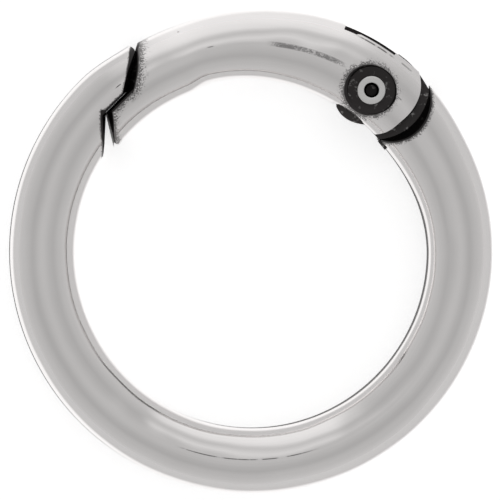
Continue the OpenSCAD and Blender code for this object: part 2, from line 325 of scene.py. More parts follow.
def along_spring(name: str, profile: Profile, material: Face, around: int) -> Piece:
    """A solid turned about the spring's line.

    Args:
        name: the object's name.
        profile: radius and distance-from-the-pivot pairs.
        material: material index of its faces.
        around: number of points round each circle.

    Returns:
        The object.
    """
    points, faces = loft(circles(profile, np.zeros(2), around))
    shape = PLAN.by_spring(*points.T), [face[::-1] for face in faces]
    return new_piece(name, shape, material)


def carve(piece: Piece, tools: list[tuple[Cut, Piece]]) -> None:
    """Cuts or joins shaped tools into a piece, in order, and throws the tools away.

    Args:
        piece: the object to carve.
        tools: what to do with each tool, and the tool.
    """
    for number, (kind, tool) in enumerate(tools):
        step = piece.modifiers.new(f"{kind.name.lower()}_{number}", "BOOLEAN")
        step.operation, step.object, step.solver = kind.value, tool, "EXACT"
        step.material_mode = "INDEX"
    bpy.context.view_layer.update()
    graph = bpy.context.evaluated_depsgraph_get()
    carved = bpy.data.meshes.new_from_object(piece.evaluated_get(graph))
    carved.name = piece.name
    piece.modifiers.clear()
    piece.data = carved
    for _, tool in tools:
        bpy.data.objects.remove(tool)


@dataclass(frozen=True)
class Tube:
    """A tube of oval section whose inner and outer radius change round the ring."""

    start: float
    stop: float
    step: float
    around: int = 96

    def inner(self, t: Array) -> Array:
        """The inner radius at an angle."""
        raise NotImplementedError

    def outer(self, t: Array) -> Array:
        """The outer radius at an angle."""
        raise NotImplementedError

    def surface(self) -> Shape:
        """Grid of the section's angle p against the ring's angle t.

        A point is m(t) + w(t) cos p out from the centre and h + h sin p up, where m and w
        are the middle and half of the two radii and h is half the thickness.

        Returns:
            The points, and the faces with an end cap each.
        """
        t = np.linspace(self.start, self.stop, round((self.stop - self.start) / self.step) + 1)
        p = full_turn(self.around)
        inner, outer = self.inner(t)[:, None], self.outer(t)[:, None]
        r = (inner + outer) / 2.0 + (outer - inner) / 2.0 * np.cos(p)
        z = np.broadcast_to(PLAN.half_t * (1.0 + np.sin(p)), r.shape)
        points = np.concatenate([at(t[:, None], r), z[..., None]], axis=-1).reshape(-1, 3)
        return points, rolled(len(t), self.around)

    def normals(self, points: Array) -> Array:
        """True outward normals at points on the tube, from the slope of its formula.

        The tube is where ((r - m) / w)^2 + ((z - h) / h)^2 is 1, and the normal is that
        sum's slope in r, z and along the ring.

        Args:
            points: places on the tube, in millimetres from its underside.

        Returns:
            A unit vector for each point.
        """
        r = np.hypot(points[:, 0], points[:, 1])
        t = np.degrees(np.arctan2(points[:, 0], points[:, 1]))
        t = np.where(t < self.start - 1.0, t + 360.0, t)

        def value(r_: Array, t_: Array) -> Array:
            """The first term of the sum."""
            inner, outer = self.inner(t_), self.outer(t_)
            return ((r_ - (inner + outer) / 2.0) / ((outer - inner) / 2.0)) ** 2

        d = 1e-3
        by_r = (value(r + d, t) - value(r - d, t)) / (2.0 * d)
        by_t = (value(r, t + d) - value(r, t - d)) / (2.0 * np.radians(d) * r)
        by_z = 2.0 * (points[:, 2] - PLAN.half_t) / PLAN.half_t**2
        plan = by_r[:, None] * at(t, 1.0) + by_t[:, None] * at(t + 90.0, 1.0)
        n = np.concatenate([plan, by_z[:, None]], axis=1)
        return n / np.maximum(np.linalg.norm(n, axis=1, keepdims=True), 1e-9)


@dataclass(frozen=True)
class BodyTube(Tube):
    """The ring body: plain, swollen beside the hinge, and falling towards its tip.

    Each stretch is the pair of angles over which the radius changes.
    """

    start: float = 36.0
    stop: float = 336.0
    step: float = 1.25
    swell_in: float = 0.36
    swell_in_over: Span = (92.0, 48.0)
    swell_out: float = 0.11
    swell_out_over: Span = (64.0, 48.0)
    tip_fall: float = 0.14
    tip_fall_over: Span = (316.0, 328.0)

    def inner(self, t: Array) -> Array:
        """Plain inner radius less the swelling beside the hinge."""
        return PLAN.inner_r - self.swell_in * ease(t, *self.swell_in_over)

    def outer(self, t: Array) -> Array:
        """Plain outer radius with its swelling by the hinge and its fall at the tip."""
        grow = self.swell_out * ease(t, *self.swell_out_over)
        return PLAN.outer_r + grow - self.tip_fall * ease(t, *self.tip_fall_over)


@dataclass(frozen=True)
class GateTube(Tube):
    """The gate: wide at the hinge, slim at the waist and thicker at the nose."""

    start: float = -62.0
    stop: float = 58.0
    step: float = 1.0
    nose_outer_r: float = 12.28
    grow_over: Span = (-26.0, 34.0)
    waist: float = 0.24
    waist_over: Span = (34.0, -13.0)
    nose_swell: float = 0.21
    nose_swell_over: Span = (-13.0, -21.0)

    def inner(self, t: Array) -> Array:
        """Inner radius, rising to the waist and falling again to the nose."""
        waist = self.waist * ease(t, *self.waist_over)
        return PLAN.gate_inner_r + waist - self.nose_swell * ease(t, *self.nose_swell_over)

    def outer(self, t: Array) -> Array:
        """Outer radius, growing from the nose to the hinge."""
        grow = PLAN.gate_outer_r - self.nose_outer_r
        return self.nose_outer_r + grow * ease(t, *self.grow_over)


def values_of(items: bpy.types.bpy_prop_collection, name: str, kind: type, width: int) -> Array:
    """One property of every item of a mesh, as rows of an array.

    Args:
        items: the mesh's loops, vertices or polygons.
        name: the property.
        kind: the type of its numbers.
        width: how many numbers each item has.

    Returns:
        A row of numbers for each item.
    """
    values = np.empty(len(items) * width, kind)
    items.foreach_get(name, values)
    return values.reshape(-1, width)


def smooth(piece: Piece, angle: float, tube: Tube | None = None) -> None:
    """Shades a piece smooth between edges sharper than an angle.

    Args:
        piece: the object.
        angle: the sharpest angle that still shades smooth, in degrees.
        tube: the tube whose true normals the casting's skin takes, if given.
    """
    mesh = piece.data
    mesh.polygons.foreach_set("use_smooth", np.ones(len(mesh.polygons), bool))
    mesh.set_sharp_from_angle(angle=math.radians(angle))
    if tube is None:
        return
    corner = values_of(mesh.corner_normals, "vector", np.float32, 3)
    index = values_of(mesh.loops, "vertex_index", np.int32, 1)[:, 0]
    place = values_of(mesh.vertices, "co", np.float32, 3)[index].astype(float) / MM
    kind = values_of(mesh.polygons, "material_index", np.int32, 1)[:, 0]
    size = values_of(mesh.polygons, "loop_total", np.int32, 1)[:, 0]
    on_tube = np.repeat(kind, size) == Face.SKIN.value
    true = tube.normals(place)
    agree = np.einsum("ij,ij->i", true, corner) > SKIN_AGREES
    use = (on_tube & agree)[:, None]
    mesh.normals_split_custom_set(np.where(use, true, corner).tolist())


class Term:
    """A value from a shader node, with plain arithmetic that adds more nodes."""

    def __init__(self, nodes: "Nodes", socket: bpy.types.NodeSocket) -> None:
        """Keeps the tree's helper and the output that the value comes from."""
        self.nodes, self.socket = nodes, socket

    def __add__(self, other: "Term | float") -> "Term":
        """This value plus another."""
        return self.nodes.math("ADD", self, other)

    def __sub__(self, other: "Term | float") -> "Term":
        """This value less another."""
        return self.nodes.math("SUBTRACT", self, other)

    def __rsub__(self, other: float) -> "Term":
        """A number less this value."""
        return self.nodes.math("SUBTRACT", other, self)

    def __mul__(self, other: "Term | float") -> "Term":
        """This value times another."""
        return self.nodes.math("MULTIPLY", self, other)

    def __truediv__(self, other: "Term | float") -> "Term":
        """This value over another."""
        return self.nodes.math("DIVIDE", self, other)


Number = Term | float
Vector = Term | Triple
Effects = dict[str, bpy.types.NodeTree]


class Nodes:
    """Short ways to add and link shader nodes in one tree."""

    def __init__(self, tree: bpy.types.NodeTree) -> None:
        """Keeps the tree that the nodes go into."""
        self.tree = tree

    def add(self, kind: str, inputs: dict | None = None, **settings: object) -> bpy.types.Node:
        """Adds a node.

        Args:
            kind: the node's type.
            inputs: what feeds its inputs, by their names or numbers.
            settings: its own properties.

        Returns:
            The node.
        """
        node = self.tree.nodes.new(kind)
        for name, value in settings.items():
            setattr(node, name, value)
        for key, value in (inputs or {}).items():
            self.feed(node.inputs[key], value)
        return node

    def feed(self, socket: bpy.types.NodeSocket, value: object) -> None:
        """Links a term into an input, or sets the input's value."""
        if isinstance(value, Term):
            self.tree.links.new(value.socket, socket)
        else:
            socket.default_value = value

    def math(self, operation: str, *values: Number, clamp: bool = False) -> Term:
        """One step of arithmetic on numbers."""
        inputs = dict(enumerate(values))
        node = self.add("ShaderNodeMath", inputs, operation=operation, use_clamp=clamp)
        return Term(self, node.outputs["Value"])

    def most(self, first: Number, *rest: Number) -> Term:
        """The greatest of some numbers."""
        for value in rest:
            first = self.math("MAXIMUM", first, value)
        return first

    def vector(self, operation: str, *values: Vector) -> Term:
        """One step of vector arithmetic, which gives a vector or a number."""
        node = self.add("ShaderNodeVectorMath", dict(enumerate(values)), operation=operation)
        output = "Value" if operation in ("DOT_PRODUCT", "LENGTH") else "Vector"
        return Term(self, node.outputs[output])

    def tint(self, colour: Colour, tone: Term) -> Term:
        """A colour brightened by a share."""
        node = self.add("ShaderNodeVectorMath", {0: colour, "Scale": tone}, operation="SCALE")
        return Term(self, node.outputs["Vector"])

    def mix(self, share: Number, a: object, b: object) -> Term:
        """Mixes two colours by a share."""
        node = self.add("ShaderNodeMix", {"Factor": share, 6: a, 7: b}, data_type="RGBA")
        return Term(self, node.outputs[2])

    def between(
        self, value: Term, low: Number, high: Number, a: float = 0.0, b: float = 1.0
    ) -> Term:
        """Smooth step of a value from a at low to b at high."""
        inputs = {"Value": value, "From Min": low, "From Max": high, "To Min": a, "To Max": b}
        node = self.add("ShaderNodeMapRange", inputs, interpolation_type="SMOOTHSTEP")
        return Term(self, node.outputs["Result"])

    def place(self) -> Term:
        """The shaded point in the object's own axes, in metres."""
        return Term(self, self.add("ShaderNodeTexCoord").outputs["Object"])

    def flat(self) -> Term:
        """The shaded point in plan, in millimetres."""
        return self.vector("MULTIPLY", self.place(), (1.0 / MM, 1.0 / MM, 0.0))

    def height(self) -> Term:
        """The shaded point's height above the underside, in millimetres."""
        return Term(self, self.add("ShaderNodeSeparateXYZ", {0: self.place()}).outputs["Z"]) / MM

    def distance(self, centre: Vector = (0.0, 0.0, 0.0)) -> Term:
        """Distance in plan from a vertical line, in millimetres."""
        return self.vector("LENGTH", self.vector("SUBTRACT", self.flat(), centre))

    def bearing(self, way: Vector) -> Term:
        """Cosine of the angle in plan between a direction and the shaded point's."""
        return self.vector("DOT_PRODUCT", self.vector("NORMALIZE", self.flat()), way)

    def upright(self, x: Term, z: Number = 0.0) -> Term:
        """A vector of x and z."""
        return Term(self, self.add("ShaderNodeCombineXYZ", {"X": x, "Z": z}).outputs[0])

    def noise(
        self, scale: float, detail: float = 2.0, rough: float = 0.5, place: Term | None = None
    ) -> Term:
        """Fractal noise about 0.5, at the shaded point unless a place is given."""
        looks = {"Scale": scale, "Detail": detail, "Roughness": rough}
        node = self.add("ShaderNodeTexNoise", {"Vector": place or self.place()} | looks)
        return Term(self, node.outputs["Fac"])

    def opening(self, start: Term, width: Term) -> Term:
        """How far a lip has opened at the shaded point's height: w (0.7 e + 0.3 e^2).

        The share e grows from 0 at the start height from the ring's middle to 1 at its top.
        """
        past = self.math("ABSOLUTE", self.height() - PLAN.half_t) - start
        e = self.math("DIVIDE", past, PLAN.half_t - start, clamp=True)
        return e * (e * LIP_CURVE + LIP_SLOPE) * width


class Effect(Nodes):
    """A shader node group being built, whose inputs are read as effect["Name"]."""

    def __init__(self, name: str, inputs: dict[str, object], *outputs: str) -> None:
        """Makes the empty group.

        Args:
            name: the group's name.
            inputs: names and starting values of its inputs, each a number or a vector.
            outputs: names of its outputs, all numbers.
        """
        super().__init__(bpy.data.node_groups.new(name, "ShaderNodeTree"))
        sockets = self.tree.interface
        for key, value in inputs.items():
            kind = "NodeSocketFloat" if isinstance(value, float) else "NodeSocketVector"
            sockets.new_socket(key, in_out="INPUT", socket_type=kind).default_value = value
        for key in outputs:
            sockets.new_socket(key, in_out="OUTPUT", socket_type="NodeSocketFloat")
        self.source, self.sink = self.add("NodeGroupInput"), self.add("NodeGroupOutput")

    def __getitem__(self, key: str) -> Term:
        """One of the group's inputs."""
        return Term(self, self.source.outputs[key])

    def give(self, key: str, value: Term) -> None:
        """Feeds one of the group's outputs."""
        self.feed(self.sink.inputs[key], value)


def lip_effect() -> bpy.types.NodeTree:
    """Distance into the metal from a straight face with an opened lip, in millimetres.

    Inputs are the face's first end, its direction, the direction into the metal, its
    length, and the lip's width and start height. What sticks out past either end counts,
    and so does what lies more than 0.6 past the face on its other side.
    """
    ways = {"End": (0.0, 0.0, 0.0), "Along": (1.0, 0.0, 0.0), "Into": (0.0, 1.0, 0.0)}
    e = Effect("lip_distance", {**ways, "Length": 1.0, "Width": 0.1, "Start": 1.0}, "Distance")
    off = e.vector("SUBTRACT", e.flat(), e["End"])
    along = e.vector("DOT_PRODUCT", off, e["Along"])
    depth = e.vector("DOT_PRODUCT", off, e["Into"]) - e.opening(e["Start"], e["Width"])
    depth = e.most(depth, depth * -1.0 - 0.6, 0.0)
    past = e.most(along * -1.0, along - e["Length"], 0.0)
    e.give("Distance", e.math("SQRT", past * past + depth * depth))
    return e.tree


def rim_effect() -> bpy.types.NodeTree:
    """Distance outwards from a round recess whose lip opens, in millimetres."""
    inputs = {"Centre": (0.0, 0.0, 0.0), "Radius": 1.0, "Width": 0.1, "Start": 1.0}
    e = Effect("rim_distance", inputs, "Distance")
    away = e.distance(e["Centre"]) - e["Radius"]
    e.give("Distance", away - e.opening(e["Start"], e["Width"]))
    return e.tree


def line_effect() -> bpy.types.NodeTree:
    """A thin dark line round the ring at one radius, on the upper face: oxide, and on the body's
    crest a painted reflection of the camera.

    Inputs are its radius and half width, the direction of its middle, the cosines of the
    angles at which it ends and is full, its strength, and how finely it is broken up.
    Output Mask is the share of the line's dark.
    """
    span = {"Toward": (0.0, 1.0, 0.0), "Ends": 0.9, "Full": 0.95}
    looks = {"Radius": 1.0, "Width": 0.1, "Strength": 1.0, "Grain": 0.0}
    e = Effect("oxide_and_reflection_line", span | looks, "Mask")
    away = e.math("ABSOLUTE", e.distance() - e["Radius"])
    line = e.between(away / e["Width"], low=0.5, high=1.0, a=1.0, b=0.0)
    inside = e.between(e.bearing(e["Toward"]), e["Ends"], e["Full"])
    above = e.between(e.height(), low=PLAN.half_t + 0.1, high=PLAN.half_t + 0.2)
    fine = (e.noise(scale=24000.0, rough=0.6) - 0.5) * e["Grain"] + e["Grain"] * 0.07
    patches = e.noise(scale=1500.0, detail=3.0, rough=0.7)
    patchy = e.between(patches + fine, low=0.38, high=0.55)
    e.give("Mask", line * inside * (above * patchy) * e["Strength"])
    return e.tree


def stipple_effect() -> bpy.types.NodeTree:
    """Stipple of oxide left beside a recess: solid at the edge, thinning to dots.

    Input Distance is how far the point is from the recess, Core is how far the oxide is
    solid and Reach is how far the stipple goes beyond it. Output Mask is the share of oxide.
    """
    e = Effect("oxide_stipple", {"Distance": 1.0, "Reach": 0.2, "Core": 0.03}, "Mask")
    dots = (e.noise(scale=16000.0, rough=0.6) - 0.5) * 4.2
    blots = (e.noise(scale=2500.0, rough=0.6) - 0.5) * 1.4
    beyond = e["Distance"] - e["Core"]
    grain = dots + blots + 0.60
    thin = e.between(grain - beyond / e["Reach"], low=-0.08, high=0.22, b=0.78)
    solid = e.between(beyond - blots * 0.05, low=-0.02, high=0.03, a=1.0, b=0.0)
    e.give("Mask", e.most(thin, solid))
    return e.tree


def wear_and_reflection_bands_effect() -> bpy.types.NodeTree:
    """Fine handling marks on polished metal, with painted reflection bands in its tone.

    Outputs Tone, a faint change of brightness about 1 from mottling and from painted
    reflection bands in rings about the ring's centre, Rough, a change of roughness about
    1, and Height, the casting's slow waves, fine scratches and pin-prick pits for a bump.
    """
    e = Effect("handling_wear_and_reflection_bands", {"Amount": 1.0}, "Tone", "Rough", "Height")
    stretched = e.vector("MULTIPLY", e.place(), (1.0, 1.0, 0.6))
    cloud = e.noise(scale=240.0, detail=3.0, rough=0.55, place=stretched)
    # Painted reflection: brightness in rings about the ring's centre stands in for the studio's
    # concentric reflections.
    about = e.upright(e.distance() * 2.2, e.noise(scale=60.0, detail=1.0) * 1.5)
    rings = e.noise(scale=1.0, detail=3.0, rough=0.6, place=about)
    e.give("Tone", (cloud - 0.5) * 0.10 + 1.0 + (rings - 0.5) * 0.12)
    e.give("Rough", cloud * 0.6 + 0.7)
    cells = e.add("ShaderNodeTexVoronoi", {"Vector": e.place(), "Scale": 900.0}, feature="F1")
    pits = e.between(Term(e, cells.outputs["Distance"]), low=0.0, high=0.09, a=-1.0, b=0.0)
    rare = e.between(e.noise(scale=420.0, detail=1.0), low=0.62, high=0.68)
    scratches = e.noise(scale=5200.0) * 0.05
    waves = e.noise(scale=260.0, detail=1.0) * 30.0
    e.give("Height", (pits * rare + scratches + waves) * e["Amount"])
    return e.tree


class Metal(Nodes):
    """A material of one metal shader, which can use the shared effects."""

    def __init__(self, name: str, effects: Effects) -> None:
        """Makes the material, with the handling wear and its painted reflection bands already in
        it.

        Args:
            name: the material's name.
            effects: the shared node groups by name.
        """
        self.material = bpy.data.materials.new(name)
        self.material.use_nodes = True
        super().__init__(self.material.node_tree)
        self.effects = effects
        self.wear = self.effect("wear", {})

    def effect(self, name: str, inputs: dict[str, object]) -> dict[str, Term]:
        """Places a shared effect with its own inputs, and gives its outputs by name."""
        node = self.add("ShaderNodeGroup", inputs, node_tree=self.effects[name])
        return {key: Term(self, socket) for key, socket in node.outputs.items()}

    def dressed(
        self, colour: Term, rough: Term, relief: Term, bump: float, deep: float
    ) -> bpy.types.Material:
        """Feeds the metal shader.

        Args:
            colour: its base colour.
            rough: its roughness.
            relief: the height of its bump.
            bump: how strongly the bump shows.
            deep: the bump's depth in millimetres.

        Returns:
            The material.
        """
        inputs = {"Strength": bump, "Distance": deep * MM, "Height": relief}
        normal = Term(self, self.add("ShaderNodeBump", inputs).outputs["Normal"])
        shader = self.tree.nodes["Principled BSDF"]
        looks = {"Base Color": colour, "Metallic": 1.0, "Roughness": rough, "Normal": normal}
        for key, value in looks.items():
            self.feed(shader.inputs[key], value)
        return self.material


@dataclass(frozen=True)
class Lip:
    """An opened lip with oxide beside it.

    It opens by a width from a height above the middle to the top. The oxide is solid for
    the core, and its stipple goes on for the reach.
    """

    width: float
    below: float
    reach: float
    core: float

    def distance(self, metal: Metal) -> Term:
        """Distance into the metal from the opened lip."""
        raise NotImplementedError

    def mask(self, metal: Metal) -> Term:
        """The share of oxide beside the lip."""
        inputs = {"Distance": self.distance(metal), "Reach": self.reach, "Core": self.core}
        return metal.effect("stipple", inputs)["Mask"]


@dataclass(frozen=True)
class StraightLip(Lip):
    """The lip of a straight face, in plan."""

    start: Array
    stop: Array
    into: Array

    def distance(self, metal: Metal) -> Term:
        """Distance into the metal from the opened lip.

        Args:
            metal: the material that the distance is worked out in.

        Returns:
            The distance in millimetres.
        """
        along = self.stop - self.start
        ways = {"End": level(self.start), "Along": level(unit(along)), "Into": level(self.into)}
        sizes = {"Length": float(np.linalg.norm(along)), "Width": self.width, "Start": self.below}
        return metal.effect("lip", ways | sizes)["Distance"]


@dataclass(frozen=True)
class RoundLip(Lip):
    """The lip of a round recess, in plan."""

    centre: Array
    radius: float

    def distance(self, metal: Metal) -> Term:
        """Distance outwards from the opened lip."""
        sizes = {"Radius": self.radius, "Width": self.width, "Start": self.below}
        return metal.effect("rim", {"Centre": level(self.centre)} | sizes)["Distance"]


@dataclass(frozen=True)
class Mark:
    """A dark line along a stretch of the ring: mostly oxide that the polish did not reach, and on
    the body's crest a painted reflection of the camera.
    """

    radius: float
    from_at: float
    to_at: float
    width: float
    strength: float
    grain: float = 0.0
    full: float = 0.6

    def mask(self, metal: Metal) -> Term:
        """The share of the line's dark, which is full over the middle of the stretch.

        Args:
            metal: the material that the mask goes into.

        Returns:
            The share.
        """
        half = math.radians(abs(self.to_at - self.from_at) / 2.0)
        toward = level(at((self.from_at + self.to_at) / 2.0, 1.0))
        span = {"Toward": toward, "Ends": math.cos(half), "Full": math.cos(self.full * half)}
        looks = {"Radius": self.radius, "Width": self.width, "Strength": self.strength}
        return metal.effect("line", span | looks | {"Grain": self.grain})["Mask"]


@dataclass(frozen=True)
class AntiqueSilver:
    """Polished silver plate with black oxide left in and beside its recesses, and on the ring body
    a painted reflection of the camera drawn in the same dark.
    """

    name: str
    oxide_and_painted_reflection_marks: tuple[Lip | Mark, ...]
    colour: Colour = (0.905, 0.882, 0.874)
    oxide: Colour = (0.045, 0.042, 0.042)
    roughness: float = 0.13
    oxide_and_reflection_roughness: float = 0.25
    oxide_and_reflection_depth: float = 0.5

    def build(self, effects: Effects) -> bpy.types.Material:
        """Makes the material, whose oxide and painted reflection lie a little lower than the
        silver.

        Args:
            effects: the shared node groups by name.

        Returns:
            The material.
        """
        metal = Metal(self.name, effects)
        # Painted reflection: besides oxide, this mask holds the ring body's crest line, a painted
        # reflection of the camera in the oxide's dark colour.
        oxide = metal.most(0.0, *(edge.mask(metal) for edge in self.oxide_and_painted_reflection_marks))
        silver = metal.tint(self.colour, metal.wear["Tone"])
        return metal.dressed(
            metal.mix(oxide, silver, (*self.oxide, 1.0)),
            metal.wear["Rough"] * self.roughness + oxide * self.oxide_and_reflection_roughness,
            metal.wear["Height"] - oxide * self.oxide_and_reflection_depth,
            bump=0.25,
            deep=0.02,
        )


@dataclass(frozen=True)
class BlackenedRecess:
    """Silver left black in a recess: dull oxide with streaks rubbed nearly clean."""

    name: str
    colour: Colour = (0.050, 0.046, 0.046)
    rubbed: Colour = (0.26, 0.255, 0.25)
    roughness: float = 0.42
    stretch: float = 0.25

    def build(self, effects: Effects) -> bpy.types.Material:
        """Makes the material, whose streaks run up and down the walls of the recess.

        Args:
            effects: the shared node groups by name.

        Returns:
            The material.
        """
        metal = Metal(self.name, effects)
        long = metal.vector("MULTIPLY", metal.place(), (1.0, 1.0, self.stretch))
        streaks = metal.noise(scale=3400.0, detail=3.0, rough=0.6, place=long)
        streaks = metal.between(streaks, low=0.58, high=0.72)
        return metal.dressed(
            metal.mix(streaks, (*self.colour, 1.0), (*self.rubbed, 1.0)),
            metal.wear["Rough"] * self.roughness,
            metal.noise(scale=6000.0, detail=3.0, rough=0.6, place=long),
            bump=0.35,
            deep=0.03,
        )


@dataclass(frozen=True)
class TurnedSteel:
    """Plain steel with fine turning lines round an upright axis, or drawn wire."""

    name: str
    centre: Span = (0.0, 0.0)
    colour: Colour = (0.80, 0.79, 0.78)
    roughness: float = 0.22
    lines: float = 26.0
    contrast: float = 0.25

    def build(self, effects: Effects) -> bpy.types.Material:
        """Makes the material: brightness and bump follow rings about the axis.

        Args:
            effects: the shared node groups by name.

        Returns:
            The material.
        """
        metal = Metal(self.name, effects)
        rings = metal.upright(metal.distance(level(self.centre)) * self.lines)
        lines = metal.noise(scale=1.0, place=rings)
        tone = metal.wear["Tone"] + (lines - 0.5) * self.contrast
        rough = metal.wear["Rough"] * self.roughness
        return metal.dressed(metal.tint(self.colour, tone), rough, lines, bump=0.2, deep=0.01)


@dataclass(frozen=True)
class NoseJoint:
    """One side of the stepped joint where the gate's nose meets the body.

    The side is -1 for the body's faces and 1 for the gate's. The zigzag starts on the
    outside at `outer_at`, steps in between the near and the deep corner, which lie a
    little inside the ring's middle, and ends on the inside at `inner_at`. The lips open
    towards both faces of the ring, from a height above the middle.
    """

    side: int
    outer_at: float = -27.4
    near_at: float = -37.6
    near_in: float = 0.365
    deep_at: float = -46.0
    deep_in: float = 0.455
    inner_at: float = -51.2
    corner_r: float = 0.06
    gap: float = 0.06
    lean: float = 0.12
    end_bevel: float = 0.27
    end_from: float = 1.0
    stop_bevel: float = 0.12
    stop_from: float = 1.4
    levels: int = 14

    def corners(self, ends: float = 0.0, stop: float = 0.0) -> Array:
        """The joint's zigzag in plan, from the outside inwards.

        Args:
            ends: how far the end faces are cut back, in millimetres.
            stop: how far the stop face is cut back.

        Returns:
            Four points: two far ends and the two corners of the step.
        """
        p1, p4 = at(self.outer_at, PLAN.outer_r), at(self.inner_at, PLAN.inner_r)
        p2 = at(self.near_at, PLAN.mid_r - self.near_in)
        p3 = at(self.deep_at, PLAN.mid_r - self.deep_in)
        outer, step, inner = unit(p2 - p1), unit(p3 - p2), unit(p4 - p3)
        back = np.array([self.side * (self.gap / 2.0 + ends), 0.0])
        up = np.array([-step[1], step[0]]) * self.side * (self.gap / 2.0 + stop)
        near = crossing(p1 + back, outer, p2 + up, step)
        deep = crossing(p3 + back, inner, p2 + up, step)
        return np.array([near - outer * PLAN.far, near, deep, deep + inner * PLAN.far])

    def outline(self, ends: float, stop: float) -> Array:
        """The zigzag, cut back, with its two corners rounded a little."""
        c = self.corners(ends, stop)
        near = fillet(c[1], c[0] - c[1], c[2] - c[1], self.corner_r)
        deep = fillet(c[2], c[1] - c[2], c[3] - c[2], self.corner_r)
        return np.concatenate([c[:1], near, deep, c[3:]])

    def lips(self, *edges: Triple) -> tuple[Lip, ...]:
        """The upper lips of the joint's three faces, from the outside inwards.

        Args:
            edges: for each face, how far the solid oxide's edge moves back towards the
                ring's top, how far it is solid elsewhere, and how far its stipple goes on.

        Returns:
            The three lips.
        """
        c = self.corners()
        lips = []
        for below, p, q, (width, core, reach) in zip(
            (self.end_from, self.stop_from, self.end_from), c[:-1], c[1:], edges
        ):
            along = unit(q - p)
            into = np.array([-along[1], along[0]]) * self.side
            lips.append(StraightLip(width, below, reach, core, p, q, into))
        return tuple(lips)

    def cutter(self, *far: Array) -> Piece:
        """All that lies past this side of the joint, which leans so no light comes through.

        Both sides lean alike: towards -X on the way down from 1 above the middle to 1
        below it.

        Args:
            far: points that close the outline beyond the ring.

        Returns:
            The cutter.
        """
        levels = []
        for z in mirrored(np.linspace(0.0, PLAN.half_t + PLAN.over / 2.0, self.levels)):
            ends = self.end_bevel * opened(z, self.end_from)
            stop = self.stop_bevel * opened(z, self.stop_from)
            leant = self.lean * min(max(0.5 - 0.5 * z, 0.0), 1.0)
            outline = self.outline(ends, stop) - [leant, 0.0]
            levels.append((z, np.concatenate([outline, np.array(far)])))
        return lofted("joint_cutter", levels)

    @staticmethod
    def tip_cutter(p: Array, a: Array, b: Array, r: float) -> Piece:
        """What rounding a tip takes away.

        Args:
            p: the tip in plan.
            a: direction of one edge from the tip.
            b: direction of the other edge.
            r: radius of the rounding.

        Returns:
            The cutter.
        """
        arc = fillet(p, a, b, r, count=24)
        out = unit(unit(a) + unit(b)) * r
        outline = np.concatenate([arc, [arc[-1] - out, p - 2.0 * out, arc[0] - out]])
        past = PLAN.half_t + 1.0
        return lofted("tip_cutter", [(-past, outline), (past, outline)])


